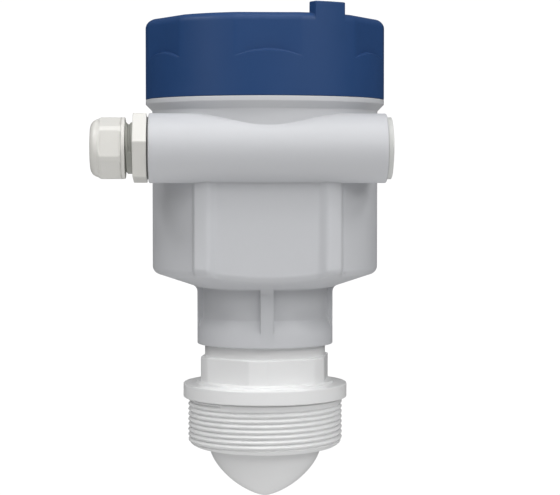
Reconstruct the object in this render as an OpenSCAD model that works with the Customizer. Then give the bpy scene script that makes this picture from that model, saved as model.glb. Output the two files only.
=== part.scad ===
// Radar level transmitter with a plastic housing, a screwed lid, two M20
// cable entries and an encapsulated horn antenna in a 2 inch process fitting.
// Millimetres. Origin: centre of the sealing face under the fitting's flange.
// +Z runs up to the lid, -Y is the front (the cable entries lie along X there).

/* [Process fitting] */
// Major diameter of the parallel process thread
thread_d = 59.6; // [59.4:0.1:59.8]
// Length of full thread below the sealing face
thread_len = 16.7; // [15:0.1:18]
// Diameter of the sealing flange
flange_d = 63.3; // [62:0.1:66]
// Thickness of the sealing flange
flange_t = 5.4; // [4:0.1:6]
// Width across flats of the fitting's hexagon
hex_af = 47.5; // [47:0.1:48]
// Diameter that the hexagon's corners are turned down to
hex_corner_d = 51.4; // [50:0.1:52]
// Height of the hexagon's top edge
hex_top = 16.1; // [14:0.1:17]
// Turn of the hexagon about the vertical axis
hex_turn = 7.8; // [0:0.1:60]
// Diameter of the antenna dome at its base
dome_d = 43.2; // [42:0.1:44]
// Height of the antenna dome
dome_h = 19.5; // [18:0.1:22]

/* [Housing] */
// Outer diameter of the electronics chamber
body_d = 86.8; // [86:0.1:88]
// Outer diameter of the neck
neck_d = 52.4; // [52:0.1:53]
// Wall thickness of the chamber
wall = 2.8; // [2.4:0.1:3]
// Height of the rim that the lid closes on
rim_z = 114.5; // [113:0.1:116]
// Distance of the cable entry axis in front of the vertical axis
entry_y = 33.7; // [33:0.1:34]
// Height of the cable entry axis
entry_z = 95.6; // [95:0.1:96]
// Outer diameter of the cable entry tube
entry_d = 25.6; // [25:0.1:26]
// Length of the cable entry tube, end to end
entry_span = 87.3; // [87:0.1:88]
// Distance of the flat front panel from the axis
panel_y = 36.5; // [36.2:0.1:36.8]
// Half width over the two strips beside the panel
strip_x = 27.2; // [26.6:0.1:27.6]
// Width of a strip
strip_w = 5.9; // [5:0.1:6.4]

/* [Lid] */
// Outer diameter of the lid
lid_d = 91.8; // [91:0.1:93]
// Height of the lid
lid_h = 30.3; // [29:0.1:31]
// Depth of the grip flats
flat_depth = 1.6; // [1.2:0.05:1.8]
// Height of the lug on the lid above the lid's top
lug_h = 4.1; // [3:0.1:5]
// Width of the lug
lug_w = 12.8; // [11:0.1:14]
// Direction of the lug from the front, towards +X
lug_turn = 30; // [0:1:60]

/* [Cable gland] */
// Width across flats of the gland body
gland_af = 23.6; // [23:0.1:24]
// Width across flats of the cap nut
nut_af = 20.6; // [20.2:0.1:20.8]
// Radius of the gland's cap thread
gland_thread_r = 9.4; // [9.2:0.05:9.5]
// Radius of the cable hole in the sealing insert
cable_r = 4; // [3:0.1:4.5]
// How far the cap nut stands off the gland body
nut_gap = 2.8; // [2.5:0.1:3.2]
// Length of the cap nut
nut_len = 12.8; // [12.4:0.1:13.4]

/* [Terminals] */
// Number of terminal poles
poles = 4; // [4]
// Distance between poles
pitch = 7.5; // [7:0.1:7.6]

/* [Hidden] */
$fn = 96;
body_r = body_d/2;
cav_r = body_r - wall;
neck_r = neck_d/2;
lid_r = lid_d/2;
lid_top = rim_z + lid_h;
end_z = -(thread_len + 2.75);
spigot_r = 22;
bore_r = 22.08;
fit_bore = 18.4;
neck_z = 20.7;
neck_top = 44.5;
entry_r = entry_d/2;
entry_x = entry_span/2;
m20_r = 10;
run = 0.05;
plate_z = 81.5;
plate_t = 2.5;
seat_z = plate_z + plate_t;
block_z0 = seat_z;
term_y = 6;
seal_z = 127;
slope = 0.333;
cone_z = 34.03;

// points along a circular arc
function arc(cx, cy, r, a0, a1, n) =
    [for (i = [0:n]) [cx + r*cos(a0 + (a1 - a0)*i/n), cy + r*sin(a0 + (a1 - a0)*i/n)]];

// corner b of the path a-b-c, rounded with radius r
function rounded(a, b, c, r, n = 6) =
    let (u = (a - b)/norm(a - b), v = (c - b)/norm(c - b),
         half = acos(u*v)/2, t = r/tan(half), m = (u + v)/norm(u + v),
         o = b + m*r/sin(half), p = b + u*t, q = b + v*t,
         a0 = atan2(p[1] - o[1], p[0] - o[0]), a1 = atan2(q[1] - o[1], q[0] - o[0]),
         d = (a1 - a0 > 180) ? a1 - a0 - 360 : (a1 - a0 < -180) ? a1 - a0 + 360 : a1 - a0)
    [for (i = [0:n]) o + r*[cos(a0 + d*i/n), sin(a0 + d*i/n)]];

// outline of the antenna dome: radius at a height fraction measured up from the tip
function dome_at(t) = pow(1 - pow(1 - t, 1.6), 0.685);
function dome_pts(r, h, z, n) = [for (i = [n:-1:0]) let (t = pow(i/n, 1.4)) [r*dome_at(t), z - h*(1 - t)]];

// puts a shape built along +Z on the left or right cable entry face
module at_entry(side) {
    translate([side*entry_x, -entry_y, entry_z]) rotate([0, side*90, 0]) children();
}

// straight ring between two radii
module ring(ro, ri, z0, z1) {
    translate([0, 0, z0]) difference() {
        cylinder(r = ro, h = z1 - z0);
        translate([0, 0, -1]) cylinder(r = ri, h = z1 - z0 + 2);
    }
}

// ---------------------------------------------------------------- antenna and fitting

module process_fitting() color([0.93, 0.94, 0.94]) {
    difference() {
        union() {
            rotate_extrude() polygon(concat(
                [[0, 47.5], [21.2, 47.5], [spigot_r, 46.7], [spigot_r, neck_z - run],
                 [23.3, neck_z - run], [23.3, hex_top - 3], [21.6, hex_top - 3], [21.6, flange_t - 0.5]],
                [[flange_d/2, flange_t - 0.5], [flange_d/2, 0], [thread_d/2, 0],
                 [thread_d/2, -thread_len], [28.5, -thread_len - 1.5], [25.3, end_z]],
                dome_pts(dome_d/2, dome_h, end_z, 24)));
            intersection() {
                rotate([0, 0, -90 - hex_turn]) translate([0, 0, flange_t - 0.5])
                    cylinder(r = hex_af/2/cos(30), h = hex_top - flange_t + 0.5, $fn = 6);
                cylinder(r = hex_corner_d/2, h = hex_top + 1);
            }
            ring(flange_d/2, 20, flange_t - 0.6, flange_t);
        }
        // bore for the antenna, with the ledge that the horn stands on
        rotate_extrude() polygon(concat(
            [[0, 50], [fit_bore, 50], [fit_bore, 42.75], [19.4, 42.75], [19.4, 41.5], [fit_bore, 41.5],
             [fit_bore, -17.6], [17.9, -17.6], [17.9, -20]],
            dome_pts(17.9, 16.4, -20, 18)));
        // grooves for the two O-rings and the retaining ring
        for (z = [26, 33]) ring(23, 20.2, z, z + 2.6);
        ring(23, 20.6, neck_top + run, neck_top + run + 1.5);
    }
}

module spigot_o_rings() color([0.08, 0.08, 0.08])
    for (z = [26, 33]) translate([0, 0, z + 0.2]) rotate_extrude() polygon(
        [[20.22, 0.5], [20.6, 0.05], [21.6, 0.05], [22.04, 0.5], [22.04, 1.7], [21.6, 2.15], [20.6, 2.15], [20.22, 1.7]]);

module retaining_ring() color([0.6, 0.6, 0.62]) difference() {
    ring(24.8, 20.62, neck_top + run, neck_top + run + 1.45);
    translate([0, -3, 40]) cube([30, 6, 10]);
}

module horn_antenna() color([0.75, 0.76, 0.78]) rotate_extrude() polygon(
    [[5, 29], [5, 16], [17.2, -16.6], [17.2, -17.6], [18.3, -17.6], [18.3, -16.6], [6.2, 15.8], [6.2, 25.5],
     [9.5, 25.5], [9.5, 29]]);

module rf_base() color([0.7, 0.71, 0.73]) difference() {
    ring(18.3, 5, 29, 33);
    for (a = [45:90:315]) rotate([0, 0, a]) translate([14.5, 0, 28]) cylinder(r = 1.1, h = 6, $fn = 24);
}

module rf_board() color([0.05, 0.3, 0.16]) difference() {
    translate([0, 0, 33]) cylinder(r = 18, h = 1.4);
    for (a = [45:90:315]) rotate([0, 0, a]) translate([14.5, 0, 30]) cylinder(r = 1.1, h = 6, $fn = 24);
}

module rf_shield() color([0.78, 0.78, 0.8]) difference() {
    translate([0, 0, 34.4]) cylinder(r = 18, h = 7.1);
    translate([0, 0, 34]) cylinder(r = 17.2, h = 6.7);
    translate([0, 0, 34]) cylinder(r = 2.6, h = 10, $fn = 48);
}

module rf_snap_ring() color([0.6, 0.6, 0.62]) difference() {
    ring(19.3, 17.3, 41.5, 42.7);
    translate([0, -4, 40]) cube([30, 8, 10]);
}

module rf_connector() color([0.83, 0.68, 0.3]) union() {
    translate([0, 0, 34.4]) cylinder(r = 2.5, h = 8.6, $fn = 48);
    translate([0, 0, 43]) cylinder(r = 1.8, h = 2, $fn = 48);
}

// ---------------------------------------------------------------- housing

// section of the housing's turned outside, filled to the axis
module housing_section() {
    cone0 = [28.2, cone_z + slope*28.2];
    corner = [body_r, cone0[1] + slope*(body_r - cone0[0])];
    throat = [neck_r, cone0[1] - slope*(cone0[0] - neck_r)];
    polygon(concat(
        [[0, neck_z], [neck_r, neck_z]],
        rounded([neck_r, 30], throat, corner, 3),
        rounded(throat, corner, [body_r, 100], 3.2, 8),
        [[body_r, rim_z - 4.3], [lid_r, rim_z - 1.8], [lid_r, rim_z], [43, rim_z], [43, seal_z - 0.8],
         [42.2, seal_z], [0, seal_z]]));
}

// what is taken off between the strips, seen from the side: everything in front of a panel
// whose lower edge is rounded into the body's cone
module front_cut() rotate([90, 0, 90]) translate([0, 0, -(strip_x - strip_w)]) linear_extrude(height = 2*(strip_x - strip_w))
    polygon(concat([[-60, 30], [-60, entry_z], [-panel_y, entry_z]],
        rounded([-panel_y, entry_z], [-panel_y, cone_z + slope*panel_y], [0, cone_z], 3.2, 8),
        [[-33.5, cone_z + slope*33.5 - 0.2], [-33.5, 30]]));

// plan of the two strips
module strip_plan() for (s = [-1, 1]) polygon([[s*strip_x, -20], [s*strip_x, -panel_y + 0.1],
    [s*(strip_x - strip_w), -panel_y - 2.1], [s*(strip_x - strip_w), -20]]);

// chamber, with a flat front below the cable entries; room for the retaining ring; neck bore
module room() difference() {
    rotate_extrude() polygon([[0, 10], [bore_r, 10], [bore_r, neck_top], [25.5, neck_top], [25.5, 45.7],
                              [cav_r, 50.6], [cav_r, 140], [0, 140]]);
    translate([-50, -60, 40]) cube([100, 60 - panel_y + 3, entry_z - 7.2 - 40]);
}

module housing() color([0.74, 0.75, 0.77]) difference() {
    union() {
        difference() {
            union() {
                difference() {
                    rotate_extrude() housing_section();
                    front_cut();
                }
                // cable entry tube across the front
                translate([-entry_x, -entry_y, entry_z]) rotate([0, 90, 0]) cylinder(r = entry_r, h = entry_span);
                // strips, trimmed below by a cone that carries on the body's own
                intersection() {
                    translate([0, 0, 40]) linear_extrude(height = entry_z - 43) strip_plan();
                    rotate_extrude() polygon([[0, cone_z + 1], [28, cone_z + 0.8 + slope*28], [43, cone_z + 0.8 + slope*43], [45, 52], [60, 60], [60, 110], [0, 110]]);
                }
            }
            room();
        }
        // screw columns for the terminal plate
        for (a = [90, 210, 330]) rotate([0, 0, a]) translate([38.2, 0, 48.3]) cylinder(r = 3.2, h = plate_z - 48.3, $fn = 48);
    }
    // cable entries: threaded length, then a plain passage into the chamber
    for (s = [-1, 1]) at_entry(s) {
        translate([0, 0, -10.6]) cylinder(r = m20_r, h = 11);
        translate([0, 0, -29.6]) cylinder(r = 9.2, h = 20);
    }
    for (a = [90, 210, 330]) rotate([0, 0, a]) translate([38.2, 0, plate_z - 12]) cylinder(r = 1.25, h = 14, $fn = 24);
    // recesses between the four ribs of the neck
    difference() {
        rotate_extrude() polygon([[24.2, 31], [neck_r + 0.2, 25.6], [30, 25.6], [30, 43], [24.2, 43]]);
        for (a = [0, 90]) rotate([0, 0, a]) translate([-40, -2.52, 20]) cube([80, 5.04, 30]);
    }
}

module rf_lead() color([0.1, 0.1, 0.1])
    translate([0, 0, 45 + run]) cylinder(r = 1, h = 58 - 45 - run, $fn = 32);

module electronics_cup() color([0.13, 0.13, 0.14]) difference() {
    translate([0, 0, 54]) cylinder(r = 33, h = plate_z - 54);
    translate([0, 0, 55.8]) cylinder(r = 31.4, h = plate_z);
    translate([0, 0, 50]) cylinder(r = 3, h = 10, $fn = 48);
}

// round board with four fixing holes and a few parts on top
module round_board(z, parts) difference() {
    union() {
        translate([0, 0, z]) cylinder(r = 30.6, h = 1.6);
        for (p = parts) translate([p[0] - p[2]/2, p[1] - p[3]/2, z + 1.5]) cube([p[2], p[3], p[4] + 0.1]);
    }
    for (a = [45:90:315]) rotate([0, 0, a]) translate([27, 0, z - 1]) cylinder(r = 1.1, h = 5, $fn = 24);
}

module main_board() color([0.05, 0.32, 0.16])
    round_board(58, [[0, 9, 12, 12, 1.4], [-14, -4, 8, 6, 1.6], [13, -5, 9, 5, 1.6], [0, -16, 14, 6, 2.4], [-12, 16, 5, 4, 1.2]]);

module power_board() color([0.05, 0.3, 0.15])
    round_board(69, [[-10, 8, 13, 10, 7], [11, 9, 8, 8, 6], [0, -12, 16, 7, 3], [-17, -9, 6, 6, 4.5], [16, -9, 5, 8, 3.5]]);

module board_pillars() color([0.72, 0.6, 0.3]) for (a = [45:90:315]) rotate([0, 0, a]) translate([27, 0, 0]) {
    translate([0, 0, 59.6]) cylinder(r = 2.2, h = 9.4, $fn = 32);
    translate([0, 0, 70.6]) cylinder(r = 2.2, h = plate_z - 70.6, $fn = 32);
}

module terminal_plate() color([0.17, 0.17, 0.18]) difference() {
    union() {
        translate([0, 0, plate_z]) cylinder(r = cav_r - 0.3, h = plate_t);
        ring(cav_r - 6, cav_r - 7.4, plate_z + plate_t - 0.1, plate_z + plate_t + 0.8);
    }
    for (a = [90, 210, 330]) rotate([0, 0, a]) translate([38.2, 0, plate_z - 1]) cylinder(r = 1.7, h = 6, $fn = 24);
    translate([-50, -60, plate_z - 1]) cube([100, 60 - panel_y + 3.3, plate_t + 4]);
}

module plate_screws() color([0.72, 0.72, 0.74]) for (a = [90, 210, 330]) rotate([0, 0, a]) translate([38.2, 0, 0])
    difference() {
        union() {
            translate([0, 0, plate_z - 9]) cylinder(r = 1.23, h = 9 + plate_t + 0.1, $fn = 24);
            translate([0, 0, seat_z]) cylinder(r = 2.1, h = 1.9, $fn = 32);
        }
        translate([-3, -0.35, seat_z + 1]) cube([6, 0.7, 2]);
    }

// x position of a terminal pole
function pole_x(i) = (i - (poles - 1)/2)*pitch;

module terminal_block() color([0.62, 0.63, 0.64]) difference() {
    union() {
        translate([-poles*pitch/2 - 1.5, term_y - 8, block_z0]) cube([poles*pitch + 3, 15, 13]);
        translate([-poles*pitch/2 - 1.5, term_y - 8, block_z0]) cube([poles*pitch + 3, 18, 4]);
    }
    for (i = [0:poles - 1]) {
        // wire funnel from the front
        translate([pole_x(i), term_y - 8.5, block_z0 + 4.6]) rotate([-90, 0, 0]) cylinder(r = 2.1, h = 9.5, $fn = 32);
        // guide for the release button
        translate([pole_x(i) - 2.3, term_y - 0.3, block_z0 + 8]) cube([4.6, 4.6, 6]);
    }
}

module terminal_contacts() color([0.8, 0.56, 0.3]) for (i = [0:poles - 1])
    translate([pole_x(i) - 1.2, term_y - 6.5, block_z0 + 3.12]) cube([2.4, 7, 0.5]);

module terminal_button(i) color([0.9, 0.45, 0.1]) difference() {
    translate([pole_x(i) - 2.2, term_y - 0.2, block_z0 + 9.6]) cube([4.4, 4.4, 5.4]);
    translate([pole_x(i) - 1.4, term_y + 1.6, block_z0 + 14.3]) cube([2.8, 0.8, 2]);
}
module terminal_button_1() terminal_button(0);
module terminal_button_2() terminal_button(1);
module terminal_button_3() terminal_button(2);
module terminal_button_4() terminal_button(3);

module display_socket() color([0.1, 0.1, 0.1]) difference() {
    translate([-9, 20, seat_z]) cube([18, 8, 9]);
    translate([-7.8, 21.2, seat_z + 3]) cube([15.6, 5.6, 8]);
}

module ground_strip() color([0.76, 0.76, 0.78]) difference() {
    union() {
        translate([-28, -12, seat_z]) cube([9, 16, 1]);
        translate([-28, 3, seat_z]) cube([9, 1, 7]);
    }
    translate([-23.5, -7, seat_z - 1]) cylinder(r = 1.6, h = 4, $fn = 24);
}

module ground_screw() color([0.74, 0.74, 0.76]) difference() {
    union() {
        translate([-23.5, -7, seat_z + 1]) cylinder(r = 3.4, h = 2.4, $fn = 48);
        translate([-23.5, -7, seat_z]) cylinder(r = 1.55, h = 1.5, $fn = 24);
    }
    translate([-27.5, -7.4, seat_z + 2.4]) cube([8, 0.8, 2]);
}

// ---------------------------------------------------------------- lid

module lid_seal() color([0.07, 0.07, 0.07]) rotate_extrude() polygon(
    [[cav_r + 0.1, seal_z + run + 0.4], [cav_r + 0.5, seal_z + run], [42.4, seal_z + run], [42.8, seal_z + run + 0.4],
     [42.8, seal_z + 2], [42.4, seal_z + 2.4], [cav_r + 0.5, seal_z + 2.4], [cav_r + 0.1, seal_z + 2]]);

module lid() color([0.15, 0.27, 0.45]) difference() {
    union() {
        rotate_extrude() polygon(concat(
            [[0, rim_z + run], [lid_r, rim_z + run]],
            rounded([lid_r, rim_z], [lid_r, lid_top], [0, lid_top], 3.1, 8),
            [[0, lid_top]]));
        // lug on the rim
        intersection() {
            cylinder(r = lid_r, h = lid_top + lug_h);
            rotate([0, 0, -90 + lug_turn]) translate([lid_r - 5.1, -lug_w/2, lid_top - 8]) cube([8, lug_w, 8 + lug_h]);
        }
    }
    // inside: threaded skirt, seal shoulder and dome room
    rotate_extrude() polygon([[0, 100], [43.08, 100], [43.08, seal_z + 2.4 + run], [cav_r - 0.2, seal_z + 2.4 + run],
                              [cav_r - 0.2, lid_top - 5], [cav_r - 2.2, lid_top - 3], [0, lid_top - 3]]);
    // six grip flats, each with a short ledge below
    for (a = [0:60:300]) if (true) rotate([0, 0, -90 + a]) translate([0, 30, 0]) rotate([90, 0, 0])
        linear_extrude(height = 60) polygon([[lid_r - flat_depth, lid_top + 10], [lid_r - flat_depth, rim_z + 16.8],
                                             [lid_r + 4, rim_z + 15.2], [lid_r + 4, lid_top + 10]]);
}

// ---------------------------------------------------------------- cable gland and plug

g0 = 0.6;
g1 = g0 + 5.05;
n0 = g1 + nut_gap;
n1 = n0 + nut_len;

module gland_gasket() color([0.25, 0.25, 0.26]) at_entry(-1) ring(11.4, 10.02, 0, g0);

module gland_body() color([0.87, 0.86, 0.84]) at_entry(-1) difference() {
    union() {
        translate([0, 0, -10]) cylinder(r = m20_r - 0.02, h = 10 + g0);
        intersection() {
            rotate([0, 0, -20.7]) translate([0, 0, g0]) cylinder(r = gland_af/2/cos(30), h = g1 - g0, $fn = 6);
            rotate_extrude() polygon([[0, g0], [13.1, g0], [13.7, g0 + 0.6], [13.7, g1 - 0.6], [13.1, g1], [0, g1]]);
        }
        translate([0, 0, g1 - 0.1]) cylinder(r = gland_thread_r, h = n0 + 5.4 - g1);
        translate([0, 0, n0 + 5]) cylinder(r = 8, h = 3.4);
    }
    translate([0, 0, -11]) cylinder(r = 6.5, h = 40);
    translate([0, 0, n0 - 0.6]) cylinder(r = 7.25, h = 20);
    // slots that leave the clamping fingers
    for (a = [0:45:135]) rotate([0, 0, a]) translate([-12, -0.4, n0 + 5.6]) cube([24, 0.8, 6]);
}

module gland_insert() color([0.16, 0.16, 0.17]) at_entry(-1) rotate_extrude() polygon(
    [[cable_r, n0 + 1.4], [7.2, n0 + 1.4], [7.2, n0 + 9.2], [6.2, n0 + 10.6], [cable_r + 0.8, n0 + 10.6], [cable_r, n0 + 9.8]]);

module gland_cap_nut() color([0.88, 0.87, 0.85]) at_entry(-1) difference() {
    union() {
        rotate_extrude() polygon([[0, n0], [10.9, n0], [11.3, n0 + 0.4], [11.3, n0 + 1.1], [10.8, n0 + 1.6], [10.8, n0 + 2], [0, n0 + 2]]);
        intersection() {
            rotate([0, 0, 8.9]) translate([0, 0, n0 + 1.9]) cylinder(r = nut_af/2/cos(30), h = 8.2, $fn = 6);
            rotate_extrude() polygon([[0, n0], [11.35, n0], [11.35, n0 + 8.9], [10.6, n0 + 10.1], [0, n0 + 10.1]]);
        }
        rotate_extrude() polygon(concat([[0, n0 + 8.6], [10.6, n0 + 8.6]],
            rounded([10.6, n0 + 8.6], [10.6, n1], [0, n1], 3.2, 8), [[0, n1]]));
    }
    // thread room, pressing cone and cable opening
    rotate_extrude() polygon([[0, n0 - 1], [gland_thread_r + 0.08, n0 - 1], [gland_thread_r + 0.08, n0 + 8.9], [9, n0 + 8.9],
                              [6.4, n0 + 11.6], [5.6, n0 + 11.9], [5.6, n1 + 1], [0, n1 + 1]]);
}

module plug_seal() color([0.2, 0.2, 0.2]) at_entry(1) ring(10.9, 10.05, run, 0.55);

module blind_plug() color([0.88, 0.87, 0.85]) at_entry(1) difference() {
    union() {
        translate([0, 0, -9]) cylinder(r = m20_r - 0.08, h = 10);
        // low domed head, with a skirt over the seal
        rotate_extrude() polygon(concat([[0, 0.6], [10.95, 0.6], [10.95, 0.12], [11.4, 0.12], [11.4, 1.7]],
            [for (i = [0:6]) let (r = 11.2*(1 - i/6)) [r, 2.7 - pow(r/11.2, 2)*0.8]]));
    }
    translate([0, 0, -10]) cylinder(r = 7.6, h = 9);
    // driving recess
    translate([0, 0, 0.5]) cylinder(r = 5/cos(30), h = 3, $fn = 6);
}

process_fitting();
spigot_o_rings();
retaining_ring();
horn_antenna();
rf_base();
rf_board();
rf_shield();
rf_snap_ring();
rf_connector();
housing();
rf_lead();
electronics_cup();
main_board();
power_board();
board_pillars();
terminal_plate();
plate_screws();
terminal_block();
terminal_contacts();
terminal_button_1();
terminal_button_2();
terminal_button_3();
terminal_button_4();
display_socket();
ground_strip();
ground_screw();
lid_seal();
lid();
gland_gasket();
gland_body();
gland_insert();
gland_cap_nut();
plug_seal();
blind_plug();
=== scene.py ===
import math

import bmesh
import bpy
import numpy as np
from mathutils import Matrix, Vector


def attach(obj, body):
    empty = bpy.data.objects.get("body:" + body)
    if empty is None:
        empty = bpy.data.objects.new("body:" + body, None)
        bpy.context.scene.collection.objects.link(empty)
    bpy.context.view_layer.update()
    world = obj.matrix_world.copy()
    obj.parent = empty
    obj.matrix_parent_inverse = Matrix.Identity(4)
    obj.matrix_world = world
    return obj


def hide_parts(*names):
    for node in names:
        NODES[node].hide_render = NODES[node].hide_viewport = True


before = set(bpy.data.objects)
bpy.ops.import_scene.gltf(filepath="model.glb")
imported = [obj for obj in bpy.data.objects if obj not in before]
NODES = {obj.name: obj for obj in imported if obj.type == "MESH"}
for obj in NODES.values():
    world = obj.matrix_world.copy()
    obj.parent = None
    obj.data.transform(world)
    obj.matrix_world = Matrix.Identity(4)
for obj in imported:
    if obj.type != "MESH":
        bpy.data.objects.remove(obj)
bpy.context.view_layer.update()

TAU = 2 * math.pi


# ------------------------------------------------------------------ mesh helpers (millimetres)

def mesh_object(name, verts, faces):
    me = bpy.data.meshes.new(name)
    me.from_pydata([tuple(v) for v in verts], [], [tuple(f) for f in faces])
    me.update()
    ob = bpy.data.objects.new(name, me)
    bpy.context.scene.collection.objects.link(ob)
    return ob


def skin(name, rows, wrap=True):
    """Closed surface through rows of points. A row of one point is a pole."""
    verts, start = [], []
    for row in rows:
        start.append(len(verts))
        verts.extend(row)
    faces = []
    count = len(rows)
    for i in range(count if wrap else count - 1):
        j = (i + 1) % count
        a, b = start[i], start[j]
        na, nb = len(rows[i]), len(rows[j])
        if na == 1 and nb == 1:
            continue
        n = max(na, nb)
        for k in range(n):
            l = (k + 1) % n
            if na == 1:
                faces.append((a, b + l, b + k))
            elif nb == 1:
                faces.append((a + k, a + l, b))
            else:
                faces.append((a + k, a + l, b + l, b + k))
    ob = mesh_object(name, verts, faces)
    bm = bmesh.new()
    bm.from_mesh(ob.data)
    bmesh.ops.recalc_face_normals(bm, faces=bm.faces)
    if bm.calc_volume(signed=True) < 0:
        bmesh.ops.reverse_faces(bm, faces=bm.faces)
    bm.to_mesh(ob.data)
    bm.free()
    return ob


def ring(r, z, th):
    """A row at height z. r is a number or one radius per angle."""
    if np.isscalar(r) and r <= 1e-9:
        return [(0.0, 0.0, float(z))]
    r = np.broadcast_to(np.asarray(r, float), th.shape)
    z = np.broadcast_to(np.asarray(z, float), th.shape)
    return list(zip(r * np.cos(th), r * np.sin(th), z))


def turned(name, profile, seg=180):
    """A turned solid from a closed profile of (radius, height) points."""
    th = np.arange(seg) * TAU / seg
    return skin(name, [ring(r, z, th) for r, z in profile])


def rounded(points, closed=True):
    """Profile with rounded corners. A point is (r, z) or (r, z, radius) or (r, z, radius, segments)."""
    out = []
    n = len(points)
    for i, p in enumerate(points):
        if len(p) == 2 or (not closed and i in (0, n - 1)):
            out.append((p[0], p[1]))
            continue
        a, b, c = Vector(points[i - 1][:2]), Vector(p[:2]), Vector(points[(i + 1) % n][:2])
        seg = p[3] if len(p) > 3 else 4
        u, v = (a - b).normalized(), (c - b).normalized()
        half = math.acos(max(-1, min(1, u.dot(v)))) / 2
        t = p[2] / math.tan(half)
        o = b + (u + v).normalized() * (p[2] / math.sin(half))
        s, e = b + u * t, b + v * t
        a0 = math.atan2(s.y - o.y, s.x - o.x)
        a1 = math.atan2(e.y - o.y, e.x - o.x)
        d = (a1 - a0 + math.pi) % TAU - math.pi
        for k in range(seg + 1):
            ang = a0 + d * k / seg
            out.append((o.x + p[2] * math.cos(ang), o.y + p[2] * math.sin(ang)))
    return out


def outline(points, samples=8):
    """Closed plan outline with rounded corners, and long edges cut to about the sample length."""
    corner = rounded(points)
    out = []
    for i, p in enumerate(corner):
        q = corner[(i + 1) % len(corner)]
        d = math.dist(p, q)
        k = max(1, int(round(d / samples)))
        for j in range(k):
            out.append((p[0] + (q[0] - p[0]) * j / k, p[1] + (q[1] - p[1]) * j / k))
    return out


def prism(name, plan, z0, z1, edge=0.0, seg=4):
    """Upright prism over a convex plan, with its two end edges rounded."""
    pts = np.array(plan, float)
    mid = pts.mean(0)

    def inset(d):
        away = pts - mid
        # move every point towards the middle along its own outward normal
        nxt, prv = np.roll(pts, -1, 0), np.roll(pts, 1, 0)
        tangent = nxt - prv
        normal = np.stack([tangent[:, 1], -tangent[:, 0]], 1)
        normal /= np.linalg.norm(normal, axis=1, keepdims=True) + 1e-12
        flip = (normal * away).sum(1) < 0
        normal[flip] *= -1
        return pts - normal * d

    rows = [[(mid[0], mid[1], z0)]]
    if edge:
        for k in range(seg + 1):
            a = math.pi / 2 * k / seg
            rows.append([(x, y, z0 + edge * (1 - math.sin(a))) for x, y in inset(edge * (1 - math.cos(math.pi / 2 - a)))][:])
        rows = [rows[0]] + [[(x, y, z0 + edge * (1 - math.cos(math.pi / 2 * k / seg)))
                            for x, y in inset(edge * (1 - math.sin(math.pi / 2 * k / seg)))] for k in range(seg + 1)]
        rows += [[(x, y, z1 - edge * (1 - math.sin(math.pi / 2 * k / seg)))
                  for x, y in inset(edge * (1 - math.cos(math.pi / 2 * k / seg)))] for k in range(seg + 1)]
    else:
        rows += [[(x, y, z0) for x, y in pts], [(x, y, z1) for x, y in pts]]
    rows.append([(mid[0], mid[1], z1)])
    return skin(name, rows, wrap=False)


def box_solid(name, low, high, edge=0.0):
    plan = outline([(low[0], low[1], max(edge, 0.01)), (high[0], low[1], max(edge, 0.01)),
                    (high[0], high[1], max(edge, 0.01)), (low[0], high[1], max(edge, 0.01))], 50)
    return prism(name, plan, low[2], high[2], edge)


def boolean(a, b, op):
    """a with b added, cut out or kept, worked out at once. b goes."""
    m = a.modifiers.new("cut", "BOOLEAN")
    m.operation = op
    m.object = b
    m.solver = "MANIFOLD"
    bpy.context.view_layer.update()
    me = bpy.data.meshes.new_from_object(a.evaluated_get(bpy.context.evaluated_depsgraph_get()))
    a.modifiers.remove(m)
    old = a.data
    a.data = me
    bpy.data.meshes.remove(old)
    bpy.data.objects.remove(b)
    if not len(me.polygons):
        raise RuntimeError(f"{op} on {a.name} left nothing")
    return a


def place(ob, matrix):
    ob.data.transform(matrix)
    if matrix.determinant() < 0:
        ob.data.flip_normals()
    return ob


def finish_piece(ob, material, body, replaces=(), sharp=30.0):
    """Millimetres to metres, sharp edges by angle, area-weighted normals, material, body."""
    me = ob.data
    bm = bmesh.new()
    bm.from_mesh(me)
    bmesh.ops.remove_doubles(bm, verts=bm.verts, dist=2e-4)
    bmesh.ops.dissolve_degenerate(bm, dist=1e-4, edges=bm.edges)
    limit = math.radians(sharp)
    for f in bm.faces:
        f.smooth = True
    for e in bm.edges:
        e.smooth = not (len(e.link_faces) == 2 and e.calc_face_angle(0.0) > limit)
    bm.to_mesh(me)
    bm.free()
    me.transform(Matrix.Scale(0.001, 4))
    me.materials.clear()
    me.materials.append(material)
    w = ob.modifiers.new("weighted", "WEIGHTED_NORMAL")
    w.mode = "FACE_AREA"
    w.weight = 50
    w.keep_sharp = True
    bpy.context.view_layer.update()
    new = bpy.data.meshes.new_from_object(ob.evaluated_get(bpy.context.evaluated_depsgraph_get()),
                                          preserve_all_data_layers=True,
                                          depsgraph=bpy.context.evaluated_depsgraph_get())
    ob.modifiers.remove(w)
    ob.data = new
    bpy.data.meshes.remove(me)
    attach(ob, body)
    if replaces:
        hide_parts(*replaces)
    return ob


def smooth(x):
    x = np.clip(x, 0, 1)
    return x * x * (3 - 2 * x)


def wrap_deg(a):
    return (np.asarray(a, float) + 180) % 360 - 180


def hexagon(deg, across, corner):
    """Radius of a hexagon at each angle; corner is the angle of one corner."""
    d = (np.asarray(deg, float) - corner) % 60 - 30
    return across / 2 / np.cos(np.radians(d))


def softmin(a, b, k):
    """The lower of a and b, with the corner between them rounded over k."""
    h = np.clip(0.5 + 0.5 * (b - a) / k, 0, 1)
    return b * (1 - h) + a * h - k * h * (1 - h)


# ------------------------------------------------------------------ materials

def material(name):
    m = bpy.data.materials.new(name)
    m.use_nodes = True
    nt = m.node_tree
    nt.nodes.clear()
    return m, nt


def node(nt, kind, **values):
    n = nt.nodes.new(kind)
    for key, value in values.items():
        if key.startswith("_"):
            setattr(n, key[1:], value)
        else:
            n.inputs[key.replace("__", " ")].default_value = value
    return n


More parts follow.
